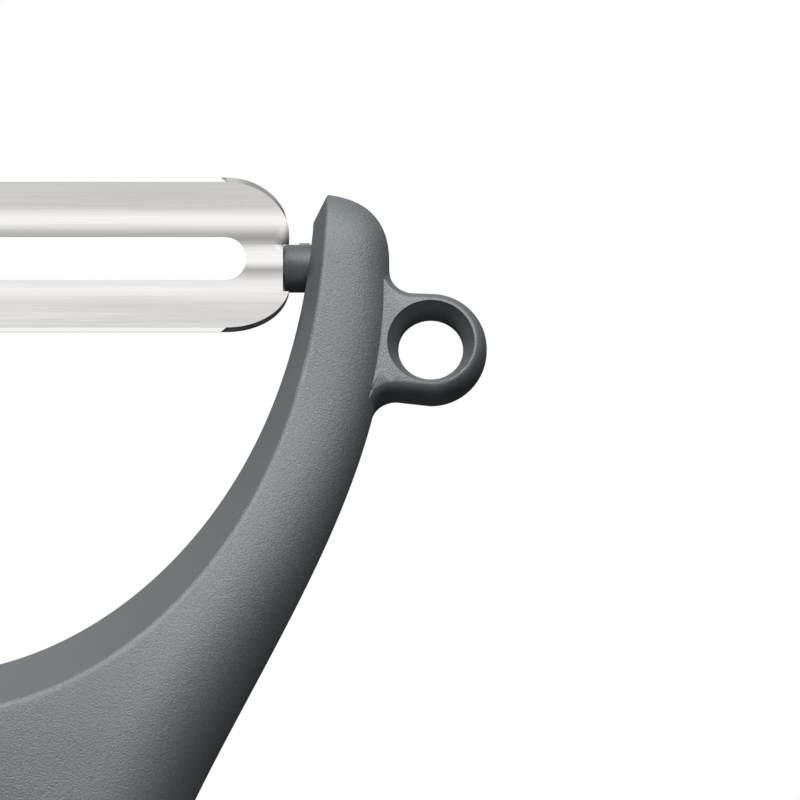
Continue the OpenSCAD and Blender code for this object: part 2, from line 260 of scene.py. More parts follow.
grain, given, result = new_group("moulded_grain", {"Vector": None, "Grains": 6500.0, "Contrast": 0.15},
                                 ["Tone", "Roughness", "Height"])
speckle = add_node(grain, "ShaderNodeTexNoise", {"Vector": given["Vector"], "Scale": given["Grains"],
                                                 "Detail": 2.0, "Roughness": 0.7}).outputs["Fac"]
cloud = add_node(grain, "ShaderNodeTexNoise", {"Vector": given["Vector"], "Scale": 90.0,
                                               "Detail": 3.0}).outputs["Fac"]
speckle_tone = add_maths(grain, "MULTIPLY", spread(grain, speckle, -1, 1), given["Contrast"])
cloud_tone = spread(grain, cloud, 0.97, 1.03)
grain.links.new(add_maths(grain, "ADD", speckle_tone, cloud_tone), result.inputs["Tone"])
grain.links.new(add_maths(grain, "ADD", spread(grain, speckle, -0.06, 0.06),
                          spread(grain, cloud, -0.04, 0.04)), result.inputs["Roughness"])
grain.links.new(speckle, result.inputs["Height"])

# %% [markdown]
# Handling polishes the sharp edges first. The mask is strong where the surface turns outwards
# most, and noise breaks it up, so that it doesn't look like a drawn line.

# %% Worn edges
wear, given, result = new_group("edge_wear", {"Vector": None, "Amount": 0.3}, ["Mask"])
sharpness = add_node(wear, "ShaderNodeNewGeometry").outputs["Pointiness"]
scuffs = add_node(wear, "ShaderNodeTexNoise", {"Vector": given["Vector"], "Scale": 1800.0,
                                               "Detail": 4.0}).outputs["Fac"]
worn = add_maths(wear, "MULTIPLY", spread(wear, sharpness, 0, 1, 0.52, 0.6), spread(wear, scuffs, 0.2, 1))
wear.links.new(add_maths(wear, "MULTIPLY", worn, given["Amount"]), result.inputs["Mask"])

# %% [markdown]
# Brushing is noise that is stretched along the blade: many fine lines across, hardly any change
# along. The Mapping node does the stretching. A second, wider noise keeps it from looking printed.

# %% Brushing
brushing, given, result = new_group("brushing", {"Vector": None, "Contrast": 0.1},
                                    ["Tone", "Roughness", "Height"])
fine = add_node(brushing, "ShaderNodeMapping", {"Vector": given["Vector"], "Scale": (90, 9000, 9000)})
broad = add_node(brushing, "ShaderNodeMapping", {"Vector": given["Vector"], "Scale": (25, 1400, 1400)})
lines = add_node(brushing, "ShaderNodeTexNoise", {"Vector": fine.outputs[0], "Scale": 1.0,
                                                  "Detail": 2.0}).outputs["Fac"]
bands = add_node(brushing, "ShaderNodeTexNoise", {"Vector": broad.outputs[0], "Scale": 1.0,
                                                  "Detail": 2.0}).outputs["Fac"]
both = add_maths(brushing, "ADD", spread(brushing, lines, -0.6, 0.6), spread(brushing, bands, -0.5, 0.5))
tone = add_maths(brushing, "MULTIPLY_ADD", both, given["Contrast"])
tone.node.inputs[2].default_value = 1.0
brushing.links.new(tone, result.inputs["Tone"])
brushing.links.new(add_maths(brushing, "MULTIPLY", both, 0.025), result.inputs["Roughness"])
brushing.links.new(lines, result.inputs["Height"])
print("groups", [group.name for group in bpy.data.node_groups])

# %% [markdown]
# Each finish is a Principled shader with its own plain values. The group only varies them.
# Colour is the base times the tone, roughness is the base plus a small change, and the height
# goes through Bump. Worn edges take a paler, scuffed colour.

# %% Finishes
scuffed = (0.5, 0.52, 0.54, 1)


def new_finish(name, group, colour, roughness, contrast, bump, metallic=0.0, worn=None, specular=0.5):
    material = bpy.data.materials.new(name)
    material.use_nodes = True
    tree = material.node_tree
    shader = tree.nodes["Principled BSDF"]
    place = add_node(tree, "ShaderNodeTexCoord").outputs["Object"]
    effect = add_node(tree, "ShaderNodeGroup", node_tree=group)
    tree.links.new(place, effect.inputs["Vector"])
    effect.inputs["Contrast"].default_value = contrast
    colour = mix_colours(tree, 1.0, (*colour, 1), effect.outputs["Tone"], "MULTIPLY")
    if worn:
        mask = add_node(tree, "ShaderNodeGroup", node_tree=wear)
        tree.links.new(place, mask.inputs["Vector"])
        mask.inputs["Amount"].default_value = worn
        colour = mix_colours(tree, mask.outputs["Mask"], colour, scuffed)
    tree.links.new(colour, shader.inputs["Base Color"])
    rough = add_maths(tree, "ADD", effect.outputs["Roughness"], roughness)
    tree.links.new(rough, shader.inputs["Roughness"])
    height = add_node(tree, "ShaderNodeBump", {"Height": effect.outputs["Height"], "Distance": bump})
    tree.links.new(height.outputs["Normal"], shader.inputs["Normal"])
    shader.inputs["Metallic"].default_value = metallic
    shader.inputs["Specular IOR Level"].default_value = specular
    return material


grained_plastic = new_finish("grained_plastic", grain, (0.104, 0.117, 0.126), roughness=0.52, contrast=0.28,
                             bump=0.00006, worn=0.2, specular=1.0)
smooth_plastic = new_finish("smooth_plastic", grain, (0.085, 0.096, 0.103), roughness=0.47, contrast=0.05,
                            bump=0.000006, worn=0.02, specular=1.0)
# The stubs get a much darker copy of the grained plastic. The darkness is painted shade, for the shadow that
# the blade and the arm cast on them.
shaded_stub_plastic = new_finish("shaded_stub_plastic", grain, (0.055, 0.062, 0.067), roughness=0.45, contrast=0.2,
                          bump=0.00003, specular=1.0)
brushed_steel = new_finish("brushed_steel", brushing, (0.8, 0.79, 0.775), roughness=0.12, contrast=0.06,
                           bump=0.0000002, metallic=1.0)
ground_steel = new_finish("ground_steel", brushing, (0.88, 0.88, 0.87), roughness=0.1, contrast=0.02,
                          bump=0.0000003, metallic=1.0)
pin_steel = new_finish("pin_steel", brushing, (0.7, 0.7, 0.7), roughness=0.28, contrast=0.05,
                       bump=0.0000008, metallic=1.0)
print("finishes", [material.name for material in bpy.data.materials])

# %% [markdown]
# Every piece is modelled in millimetres with bmesh and turned into metres when it is finished.
# Its object stays at the origin. It rides on a body and stands for the model's own solid.

# %% Finishing a piece
sharpest_smooth_edge = math.radians(38)


def finish_piece(name, mesh, body, node, finishes):
    bmesh.ops.scale(mesh, vec=(MM, MM, MM), verts=mesh.verts)
    data = bpy.data.meshes.new(name)
    mesh.to_mesh(data)
    mesh.free()
    data.shade_smooth()
    data.set_sharp_from_angle(angle=sharpest_smooth_edge)
    for finish in finishes:
        data.materials.append(finish)
    piece = bpy.data.objects.new(name, data)
    bpy.context.scene.collection.objects.link(piece)
    flat = piece.modifiers.new("flat faces lead", "WEIGHTED_NORMAL")
    flat.keep_sharp = True
    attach(piece, body)
    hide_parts(node)
    open_edges = sum(1 for count in edge_uses(data) if count != 2)
    print(name, "faces", len(data.polygons), "open edges", open_edges)


def edge_uses(data):
    uses = [0] * len(data.edges)
    for loop in data.loops:
        uses[loop.edge_index] += 1
    return uses


# %% [markdown]
# The handle bends gently: it leans forward at the hanging hole and back at the blade. Heights are
# measured along that bent centre line, so one function places a point given its distance to the
# side, its height and its depth. The sizes are the part's own, in millimetres.

# %% Sizes of the handle
stem_w, pivot_height, tip_rise, end_drop = 30, 121, 5.85, 13
arch_w, arch_rise, arm_w, fork_w = 63.6, 44.3, 4.95, 73.5
body_t, arm_t, body_round, arm_round = 14.4, 8.4, 7.2, 4.4
bevel_side_w, bevel_root_w, bevel_side_depth, bevel_root_depth = 1.1, 4, 2, 3.6
dish_d, dish_depth, dish_height = 34, 0.8, 63
tip_height = pivot_height + tip_rise
arch_root = tip_height - arch_rise
flare_rise, flare_len = 3.45, 66
flare_height = arch_root + flare_rise
lean_at_hole, lean_at_pivot = math.radians(-6), math.radians(9.5)
bend_radius = pivot_height / (lean_at_pivot - lean_at_hole)


def lean(s):
    return lean_at_hole + s / bend_radius


def place(x, s, depth):
    y = bend_radius * (math.cos(lean_at_hole) - math.cos(lean(s))) + depth * math.cos(lean(s))
    z = bend_radius * (math.sin(lean(s)) - math.sin(lean_at_hole)) - depth * math.sin(lean(s))
    return Vector((x, y, z))


pivot = place(0, pivot_height, 0)
print("pivot axis in mm", [round(v, 3) for v in pivot])

# %% [markdown]
# A few curves give the whole shape: an S step for the flare and the thickness, and a rounded
# oblong curve (a superellipse) for the arch, the shoulders, the lower end and the round sides.

# %% Curves of the handle
def step(s, low, high, a, b):
    share = min(1, max(0, (s - low) / (high - low)))
    return a + (b - a) * (1 - math.cos(math.pi * share)) / 2


def oblong(u, power):
    return max(0, 1 - abs(u) ** power) ** (1 / power)


shoulder_share, shoulder_power, end_stretch, end_power = 0.92, 2.3, 1.15, 2.2
shoulder_height, end_len = tip_height - tip_rise * shoulder_share, end_drop * end_stretch
thin_from, thin_to, tip_thinning, end_thinning = 0.1, 0.4, 0.75, 0.7
arch_power, wall_power, round_power, crown_share = 2.1, 2, 2.2, 0.06
wall_root, wall_top = arch_root + bevel_root_w, tip_height - bevel_root_w / 2


def end_share(s):
    return oblong(max(0, end_len - end_drop - s) / end_len, end_power)


def outer(s):
    if s > shoulder_height:
        into_tip = (s - shoulder_height) / (tip_height - shoulder_height)
        return arch_w / 2 + arm_w * oblong(into_tip, shoulder_power)
    flared = step(s, flare_height - flare_len / 2, flare_height + flare_len / 2, stem_w / 2, fork_w / 2)
    return flared * end_share(s)


def half_thickness(s):
    start, end = flare_height - flare_len * thin_from, flare_height + flare_len * thin_to
    thin_tip = math.sqrt(1 - tip_thinning * max(0, (s - pivot_height) / tip_rise) ** 2)
    return step(s, start, end, body_t / 2, arm_t / 2) * thin_tip * end_share(s) ** end_thinning


def front_depth(x, s):
    round_w = max(0.001, min(outer(s), step(s, arch_root, pivot_height, body_round, arm_round)))
    into_round = max(0, (x - outer(s) + round_w) / round_w)
    dish_share = min(1, (x * x + (s - dish_height) ** 2) / (dish_d / 2) ** 2)
    crown = 1 - crown_share * (x / max(outer(s), 0.001)) ** 2
    return half_thickness(s) * crown * oblong(into_round, round_power) - dish_depth * (1 - dish_share) ** 2


print("widths at 0, 60 and 120 mm", [round(2 * outer(s), 1) for s in (0, 60, 120)])

# %% [markdown]
# The arms and the grip are drawn as rows of points that start on the arch and end on the outer
# edge. Below the arch the rows slope down, so that they meet its curve at an open angle. A grid
# with one vertex for each point is then moved onto the rows. It keeps quads that follow the form,
# which shade far more smoothly than a solid cut out by booleans.

# %% Rows of the arm
columns = 24
tip_rows, arch_rows, grip_rows, end_rows = 14, 66, 64, 22
row_slope_drop = 14
edge_soft, wall_soft, edge_soft_share, wall_soft_share, deepest_bevel = 0.3, 0.14, 0.15, 0.4, 0.7
nearest_tip, probe = 0.05, 0.01


def arch_point(angle):
    return (arch_w / 2 * math.cos(angle) ** (2 / arch_power),
            tip_height - arch_rise * math.sin(angle) ** (2 / arch_power))


def row_ends(row):
    """Where a row starts on the arch, where it ends on the outside, and the way out of the arch"""
    shoulder_angle = math.asin(((tip_height - shoulder_height) / arch_rise) ** (arch_power / 2))
    if row <= tip_rows:
        drop = (tip_height - shoulder_height) * max(nearest_tip, row / tip_rows) ** 2
        angle = math.asin((drop / arch_rise) ** (arch_power / 2))
        outside = tip_height - drop
    else:
        share = (row - tip_rows) / arch_rows
        angle = shoulder_angle + (math.pi / 2 - shoulder_angle) * share
        outside = shoulder_height + (arch_root - row_slope_drop - shoulder_height) * share
    x, s = arch_point(min(angle, math.pi / 2 - 1e-9))
    if row == tip_rows + arch_rows:
        x, s, way = 0, arch_root, (0, -1)
    else:
        before = arch_point(max(angle - probe, 0.001))
        after = arch_point(min(angle + probe, math.pi / 2 - 1e-6))
        length = math.dist(before, after)
        way = ((before[1] - after[1]) / length, (after[0] - before[0]) / length)
    return x, s, outside, way


print("first row", [round(v, 2) for v in row_ends(0)[:3]], "last row", row_ends(tip_rows + arch_rows)[:3])

# %% [markdown]
# The inside of the arch has a smooth bevel and a plain wall behind it. Its edges are softened by
# a small curve through two points, drawn with the sharp corner as its control point.

# %% Soft edges and the section of an arm
def softened(before, corner, after, size):
    start = corner + (before - corner).normalized() * size
    end = corner + (after - corner).normalized() * size
    return [start * (1 - t) ** 2 + corner * 2 * t * (1 - t) + end * t ** 2 for t in (0, 1 / 3, 2 / 3, 1)]


def wall_corner(s, depth):
    share = max(0, min(1, (tip_height - s) / arch_rise))
    wall_s = wall_top - (wall_top - wall_root) * share
    wall_x = (arch_w / 2 - bevel_side_w) * oblong((tip_height - wall_s) / (tip_height - wall_root), wall_power)
    bevel = step(s, arch_root, pivot_height, bevel_root_depth, bevel_side_depth)
    return wall_x, wall_s, depth - min(bevel, depth * deepest_bevel)


def surface(row_start, outside, column):
    eased = math.sin(math.pi / 2 * column / columns)
    x = row_start[0] + (outer(outside) - row_start[0]) * eased
    s = row_start[1] + (outside - row_start[1]) * eased
    return x, s, 0 if column == columns else front_depth(x, s)


def arm_section(row):
    x, s, outside, way = row_ends(row)
    depth = front_depth(x, s)
    soft = min(edge_soft, (outer(outside) - x) * edge_soft_share)
    out_x, out_s = x + way[0] * soft, s + way[1] * soft
    out_depth = front_depth(out_x, out_s)
    wall_x, wall_s, wall_depth = wall_corner(s, depth)
    fronts = [surface((x, s), outside, column) for column in range(columns, 0, -1)]
    halves = []
    for side in (-1, 1):
        arch_edge, wall_edge = place(x, s, side * depth), place(wall_x, wall_s, side * wall_depth)
        start, inside = place(out_x, out_s, side * out_depth), place(wall_x, wall_s, 0)
        halves.append([place(px, ps, side * d) for px, ps, d in fronts]
                      + softened(start, arch_edge, wall_edge, (start - arch_edge).length)
                      + softened(arch_edge, wall_edge, inside, min(wall_soft, wall_depth * wall_soft_share)))
    return halves[0] + halves[1][::-1]


print("points in a section", len(arm_section(20)))

# %% [markdown]
# The grip's rows run from the middle line to the outer edge. The first one slopes like the arm's
# last row. They level out on the way down, and the lower end closes them to a rounded tongue.

# %% Rows of the grip
last_width = 0.04


def grip_row(row):
    """Where a row of the grip starts on the middle line and ends on the outside"""
    end_start = end_len - end_drop
    if row <= grip_rows:
        share = row / grip_rows
        middle = arch_root + (end_start - arch_root) * share
        return middle, middle - row_slope_drop * (1 - share) * min(1, 4 * (1 - share))
    angle = math.acos(last_width ** (end_power / 2)) * (row - grip_rows) / end_rows
    height = end_start - end_len * math.sin(angle) ** (2 / end_power)
    return height, height


def grip_point(row, column, side):
    middle, outside = grip_row(row)
    if row == 0 and column == 0:
        s = arch_root - edge_soft
        return place(0, s, side * front_depth(0, s))
    x, s, depth = surface((0, middle), outside, column)
    return place(x, s, side * depth)


print("lowest row of the grip", [round(v, 3) for v in grip_row(grip_rows + end_rows)])

# %% [markdown]
# Now the grids: one wraps round the arm, two lie on the front and the back of the grip. They are
# merged where they meet, closed over the tip and mirrored. Faces of the bevel and the wall get
# the smooth finish, all others the grained one.

# %% Grids for the handle
def moved_grid(mesh, across, down, target):
    made = bmesh.ops.create_grid(mesh, x_segments=across, y_segments=down, size=1)["verts"]
    for vertex in made:
        column = round((vertex.co.x + 1) / 2 * across)
        row = round((vertex.co.y + 1) / 2 * down)
        vertex.co = target(row, column)
    return made


handle = bmesh.new()
section_size = 2 * columns + 16
arm_length = tip_rows + arch_rows
sections = [arm_section(row) for row in range(arm_length + 1)]
arm = moved_grid(handle, section_size - 1, arm_length, lambda row, column: sections[row][column])
first_smooth, last_smooth = columns + 3, section_size - columns - 5
print("arm grid", len(arm))

# %% Close the tip and name the smooth faces
handle.verts.ensure_lookup_table()
for face in handle.faces:
    corner_columns = [vertex.index % section_size for vertex in face.verts]
    if min(corner_columns) >= first_smooth and max(corner_columns) <= last_smooth + 1:
        face.material_index = 1
tip = handle.verts[:section_size]
print("tip row is off by", max((vertex.co - point).length for vertex, point in zip(tip, sections[0])))
for low in range(section_size // 2 - 1):
    high = section_size - 1 - low
    bmesh.ops.contextual_create(handle, geom=[tip[low], tip[low + 1], tip[high - 1], tip[high]])
for side in (-1, 1):
    moved_grid(handle, columns, grip_rows + end_rows,
               lambda row, column, side=side: grip_point(row, column, side))

# %% Merge, mirror and close the handle
bmesh.ops.remove_doubles(handle, verts=handle.verts, dist=0.0005)
whole = handle.verts[:] + handle.edges[:] + handle.faces[:]
bmesh.ops.mirror(handle, geom=whole, matrix=Matrix.Identity(4), merge_dist=0.0005, axis="X")
rim = [edge for edge in handle.edges if edge.is_boundary]
print("rim edges at the lower end", len(rim))
bmesh.ops.holes_fill(handle, edges=rim, sides=0)
bmesh.ops.recalc_face_normals(handle, faces=handle.faces)

# %% [markdown]
# The hanging hole has rounded lips. A cutter is turned from a profile whose ends flare out, leaned
# with the grip's surface there, and taken out by a boolean. The result replaces the mesh, so no
# live boolean is left.

# %% Hanging hole
def spun(mesh, profile, steps):
    """Turns a profile of (radius, height) points about the Z axis"""
    line = [mesh.verts.new((radius, 0, height)) for radius, height in profile]
    edges = [mesh.edges.new(pair) for pair in zip(line, line[1:])]
    bmesh.ops.spin(mesh, geom=line + edges, cent=(0, 0, 0), axis=(0, 0, 1), angle=math.tau, steps=steps,
                   use_merge=True)
    bmesh.ops.remove_doubles(mesh, verts=mesh.verts, dist=0.0002)
    bmesh.ops.recalc_face_normals(mesh, faces=mesh.faces)


hole_r, lip, flare, flare_start, spare = 3.5, 1.3, 1.4, 0.35, 2
lip_curve = [(hole_r + lip * (1 - math.cos(a)), body_t / 2 - lip * (1 - math.sin(a)))
             for a in [math.radians(15 * k) for k in range(6)]]
half_profile = lip_curve + [(hole_r + lip * flare, body_t / 2 + flare_start),
                            (hole_r + lip * flare, body_t / 2 + spare)]
cutter = bmesh.new()
spun(cutter, [(0, -body_t / 2 - spare)] + [(r, -h) for r, h in half_profile[::-1]] + half_profile
     + [(0, body_t / 2 + spare)], steps=64)
bmesh.ops.rotate(cutter, cent=(0, 0, 0), matrix=Matrix.Rotation(math.radians(90), 3, "X"), verts=cutter.verts)
for vertex in cutter.verts:
    vertex.co.y += vertex.co.z * math.tan(lean_at_hole)
print("cutter points", len(cutter.verts))

# %% Cut the hole and finish the handle
def mesh_object(name, mesh):
    data = bpy.data.meshes.new(name)
    mesh.to_mesh(data)
    mesh.free()
    made = bpy.data.objects.new(name, data)
    bpy.context.scene.collection.objects.link(made)
    return made


def cut_away(mesh, tool_mesh):
    solid, tool = mesh_object("uncut", mesh), mesh_object("tool", tool_mesh)
    boolean = solid.modifiers.new("cut", "BOOLEAN")
    boolean.operation, boolean.solver, boolean.object = "DIFFERENCE", "EXACT", tool
    cut = bmesh.new()
    cut.from_mesh(solid.evaluated_get(bpy.context.evaluated_depsgraph_get()).data)
    bpy.data.objects.remove(solid)
    bpy.data.objects.remove(tool)
    return cut


handle = cut_away(handle, cutter)
finish_piece("handle_body", handle, "handle", "handle", [grained_plastic, smooth_plastic])

# %% [markdown]
# The potato-eye ring is a short tube beside the arm, with a flat web between them. One outline
# goes round both: a half circle, two fillets and a root inside the arm. Each arc comes from
# spinning one vertex. The lower fillet stops where it has the slope of the arm's side, so that the
# two meet without a corner. The ring lies a little behind the middle of the arm.

# %% Outline of the ring and its web
ring_d, rim_inset, waist_inset, ring_len, ring_out, ring_drop = 8.95, 1, 0.9, 4.45, 3.3, 6.8
ring_r, rim_wall, shoulder = ring_d / 2, 0.16, ring_len * 0.45
rim_r = ring_r - rim_inset
ring_height = pivot_height - ring_drop
ring_x, set_back, arm_slope = fork_w / 2 + ring_out, 0.3, 17


def add_arc(mesh, start, centre, degrees, steps):
    known = set(mesh.verts)
    first = mesh.verts.new((*start, 0))
    bmesh.ops.spin(mesh, geom=[first], cent=(*centre, 0), axis=(0, 0, 1), angle=math.radians(degrees),
                   steps=steps)
    ends = [vertex for vertex in mesh.verts if vertex not in known and len(vertex.link_edges) == 1]
    ends.sort(key=lambda vertex: (vertex.co.xy - Vector(start)).length)
    return ends[0], ends[-1]


ring = bmesh.new()
top_r = low_r = ring_d * 0.22
top_y, low_y = ring_r + ring_d * 0.005, -(ring_r - ring_d * 0.035)
top_out, low_out, root_top_in, root_low_in = arm_w * 0.004, arm_w * 0.02, arm_w * 0.4, arm_w * 0.5
root_rise, root_drop = 1.8, 0.2
top_x = outer(ring_height + ring_r + top_r) - ring_x + top_out
low_x = outer(ring_height - ring_r - low_r) - ring_x + low_out
ring_start, ring_end = add_arc(ring, (0, ring_r), (0, 0), -180, 48)
top_start, top_end = add_arc(ring, (top_x, top_y + top_r), (top_x + top_r, top_y + top_r), 90, 10)
low_foot = (low_x + low_r * (1 - math.cos(math.radians(arm_slope))),
            low_y - low_r * (1 - math.sin(math.radians(arm_slope))))
low_start, low_end = add_arc(ring, low_foot, (low_x + low_r, low_y - low_r), arm_slope - 90, 10)
root_top = ring.verts.new((top_x - root_top_in, top_y + top_r + root_rise, 0))
root_low = ring.verts.new((low_x - root_low_in, low_y - low_r - root_drop, 0))
for pair in [(ring_start, top_end), (top_start, root_top), (root_top, root_low), (root_low, low_start),
             (low_end, ring_end)]:
    ring.edges.new(pair)
print("outline edges", len(ring.edges), "open ends", sum(len(v.link_edges) != 2 for v in ring.verts))

# %% [markdown]
# Half of the ring is enough, because its back is like its front. The outline is filled and
# extruded to the shoulder. Small insets that also rise then round it over to the thin rim.

# %% Round the ring over to its rim
face = bmesh.ops.contextual_create(ring, geom=ring.edges[:])["faces"][0]
if face.normal.z < 0:
    face.normal_flip()
raised = bmesh.ops.extrude_face_region(ring, geom=[face])["geom"]
top_face = next(item for item in raised if isinstance(item, bmesh.types.BMFace))
bmesh.ops.translate(ring, vec=(0, 0, ring_len / 2 - shoulder), verts=top_face.verts)
turns, last_turn = 8, math.radians(72)
for count in range(turns):
    low, high = last_turn * count / turns, last_turn * (count + 1) / turns
    inset = (rim_inset - rim_wall) * (math.cos(low) - math.cos(high)) / (1 - math.cos(last_turn))
    rise = shoulder * (math.sin(high) - math.sin(low)) / math.sin(last_turn)
    bmesh.ops.inset_region(ring, faces=[top_face], thickness=inset, depth=rise, use_even_offset=True)
print("rim height", round(top_face.verts[0].co.z, 3))

# %% [markdown]
# The eye is a waisted hole. A circle at the rim and the outline's last loop bound the flat front,
# which is filled between them. The circle is then carried inwards to the waist, and the whole
# half is mirrored.

# %% Hole in the ring
outline = list(top_face.edges)
bmesh.ops.delete(ring, geom=[top_face], context="FACES_ONLY")
circle = bmesh.ops.create_circle(ring, segments=96, radius=rim_r)["verts"]
bmesh.ops.translate(ring, vec=(0, 0, ring_len / 2), verts=circle)
circle_edges = list({edge for vertex in circle for edge in vertex.link_edges})
bmesh.ops.triangle_fill(ring, edges=outline + circle_edges, use_beauty=True, normal=(0, 0, 1))
for part in ring.faces:
    part.material_index = 0 if part.calc_center_median().z > ring_len / 2 - 0.001 else 1
hole_steps, waist_curve = 8, 1.2
hole_radii = [rim_r - waist_inset * math.sin(math.pi / 2 * (count / hole_steps)) ** waist_curve
              for count in range(hole_steps + 1)]
for before, after in zip(hole_radii, hole_radii[1:]):
    grown = bmesh.ops.extrude_edge_only(ring, edges=circle_edges)["geom"]
    rim_verts = [item for item in grown if isinstance(item, bmesh.types.BMVert)]
    circle_edges = [item for item in grown if isinstance(item, bmesh.types.BMEdge)
                    and all(vertex in rim_verts for vertex in item.verts)]
    bmesh.ops.scale(ring, vec=(after / before, after / before, 1), verts=rim_verts)
    bmesh.ops.translate(ring, vec=(0, 0, -ring_len / 2 / hole_steps), verts=rim_verts)
    for item in grown:
        if isinstance(item, bmesh.types.BMFace):
            item.material_index = 1

# %% Mirror the ring and put it on the arm
flat_bottom = [part for part in ring.faces if all(abs(vertex.co.z) < 0.001 for vertex in part.verts)]
bmesh.ops.delete(ring, geom=flat_bottom, context="FACES_ONLY")
bmesh.ops.mirror(ring, geom=ring.verts[:] + ring.edges[:] + ring.faces[:], matrix=Matrix.Identity(4),
                 merge_dist=0.0005, axis="Z")
bmesh.ops.recalc_face_normals(ring, faces=ring.faces)
arm_frame = Matrix.Translation(place(0, ring_height, 0)) @ Matrix.Rotation(-lean(ring_height), 4, "X")
ring_place = Matrix.Translation((ring_x, set_back, 0)) @ Matrix.Rotation(math.radians(90), 4, "X")
ring.transform(arm_frame @ ring_place)
finish_piece("eye_ring", ring, "handle", "handle", [grained_plastic, smooth_plastic])

# %% [markdown]
# Each arm carries the blade on a plastic stub with a blind hole for its pin. Stub and pin are
# turned shapes, so each is one profile spun about the pivot axis, with its corners rounded in the
# profile itself.

# %% Stubs and pins
stub_r, stub_face, stub_root, pin_r, pin_end = 1.92, 28.33, 33.4, 0.9, 32.62
ear_span, sheet_t, ear_gap, head_r, head_t = 56.6, 0.8, 0.12, 1.45, 0.5
head = ear_span / 2 - sheet_t - ear_gap - head_t
soft, mouth, tip_gap = 0.12, 0.05, 0.01
stub_profile = [(0, pin_end), (pin_r, pin_end), (pin_r, stub_face + mouth), (pin_r + mouth, stub_face),
                (stub_r - soft, stub_face), (stub_r - soft * 0.3, stub_face + soft * 0.3),
                (stub_r, stub_face + soft), (stub_r, stub_root), (0, stub_root)]
pin_profile = [(0, head), (head_r * 0.6, head + 0.02), (head_r * 0.88, head + 0.1), (head_r, head + 0.25),
               (head_r, head + head_t - 0.04), (head_r - 0.04, head + head_t), (pin_r, head + head_t),
               (pin_r, pin_end - 0.25), (pin_r - 0.2, pin_end - tip_gap), (0, pin_end - tip_gap)]
for side, name in ((-1, "left"), (1, "right")):
    axis_frame = Matrix.Translation(pivot) @ Matrix.Rotation(math.radians(90 * side), 4, "Y")
    stub, pin = bmesh.new(), bmesh.new()
    spun(stub, stub_profile, 64)
    spun(pin, pin_profile, 48)
    stub.transform(axis_frame)
    pin.transform(axis_frame)
    # The stub's darker finish paints its shade.
    finish_piece("stub_" + name, stub, "handle", "handle", [shaded_stub_plastic])
    finish_piece("pin_" + name, pin, "handle", "pivot_pin_" + name, [pin_steel])

# %% [markdown]
# A small square lug stands on each stub, against the arm. It is a cube with bevelled edges that
# leans with the arm.

# %% Small lug on each stub
lug_w, lug_rise, lug_depth, lug_soft = stub_r * 0.44, stub_r * 0.04, stub_r * 0.6, 0.06
lug_x = (arch_w / 2 - bevel_side_w) * oblong((tip_height - pivot_height) / (tip_height - wall_root), wall_power)
for side, name in ((-1, "left"), (1, "right")):
    lug = bmesh.new()
    bmesh.ops.create_cube(lug, size=1, matrix=Matrix.Diagonal((lug_w, lug_depth, stub_r + lug_rise, 1)))
    bmesh.ops.bevel(lug, geom=lug.edges, offset=lug_soft, segments=2, profile=0.5, affect="EDGES", material=-1)
    lug_place = Matrix.Translation((side * (lug_x - lug_w / 2), 0, (stub_r + lug_rise) / 2))
    lug.transform(Matrix.Translation(pivot) @ Matrix.Rotation(-lean_at_pivot, 4, "X") @ lug_place)
    finish_piece("lug_" + name, lug, "handle", "handle", [grained_plastic])

# %% [markdown]
# The blade is pressed from one strip. Its outline is drawn flat, as seen from the front: straight
# cutting edges, rounded corners, a slot and a step at each end where an ear is folded back. One
# half is drawn and filled, and lines are cut across it where it will bend.

# %% Flat outline of the blade
blade_len, blade_h, blade_reach, axis_drop, slot_drop = 57.6, 12.25, 4.4, 1.0, 0.27
corner_w, corner_top_h, corner_low_h = 4.9, 4.3, 3.4
hollow_r, flange_angle, slot_margin, slot_h = 8.3, math.radians(28), 3.4, 3.4
back_r = hollow_r + sheet_t
half_len, half_h = blade_len / 2, blade_h / 2
back_share = back_r / hollow_r
sheet = bmesh.new()


def outline_arc(start_degrees, sweep, steps, centre, size):
    known = set(sheet.verts)
    turn = math.radians(start_degrees)
    first, last = add_arc(sheet, (math.cos(turn), math.sin(turn)), (0, 0), sweep, steps)
    made = [vertex for vertex in sheet.verts if vertex not in known]
    bmesh.ops.scale(sheet, vec=(*size, 1), verts=made)
    bmesh.ops.translate(sheet, vec=(*centre, 0), verts=made)
    return first, last


step_gap = 0.05
step_top, step_low = stub_r - axis_drop, -stub_r * back_share - axis_drop - step_gap
low_turn = math.degrees(math.asin((half_h - corner_low_h + step_low) / corner_low_h))
top_first, top_last = outline_arc(90, -90, 24, (half_len - corner_w, half_h - corner_top_h),
                                  (corner_w, corner_top_h))
low_first, low_last = outline_arc(low_turn, -90 - low_turn, 24, (half_len - corner_w, corner_low_h - half_h),
                                  (corner_w, corner_low_h))
slot_x = half_len - slot_margin - slot_h / 2
slot_first, slot_last = outline_arc(90, -180, 32, (slot_x, -slot_drop * back_share),
                                    (slot_h / 2, slot_h / 2 * back_share))
ground_end, ground_more, draw_in = half_len - corner_w, 0.2, 0.5
edge_h = half_h + ground_more
path = [sheet.verts.new((x, y, 0)) for x, y in
        ((0, edge_h), (half_len, step_top), (ear_span / 2, step_top), (ear_span / 2, step_low),
         (0, -edge_h), (0, (slot_h / 2 - slot_drop) * back_share), (0, (-slot_h / 2 - slot_drop) * back_share),
         (ground_end - draw_in, edge_h), (ground_end - 0.02, half_h),
         (ground_end - draw_in, -edge_h), (ground_end - 0.02, -half_h))]
for pair in [(path[0], path[7]), (path[7], path[8]), (path[8], top_first), (top_last, path[1]),
             (path[1], path[2]), (path[2], path[3]), (path[3], low_first), (low_last, path[10]),
             (path[10], path[9]), (path[9], path[4]), (path[4], path[6]), (path[6], slot_last),
             (slot_first, path[5]), (path[5], path[0])]:
    sheet.edges.new(pair)
bmesh.ops.triangle_fill(sheet, edges=sheet.edges[:], use_beauty=True, normal=(0, 0, 1))
print("flat sheet", len(sheet.faces), "faces")

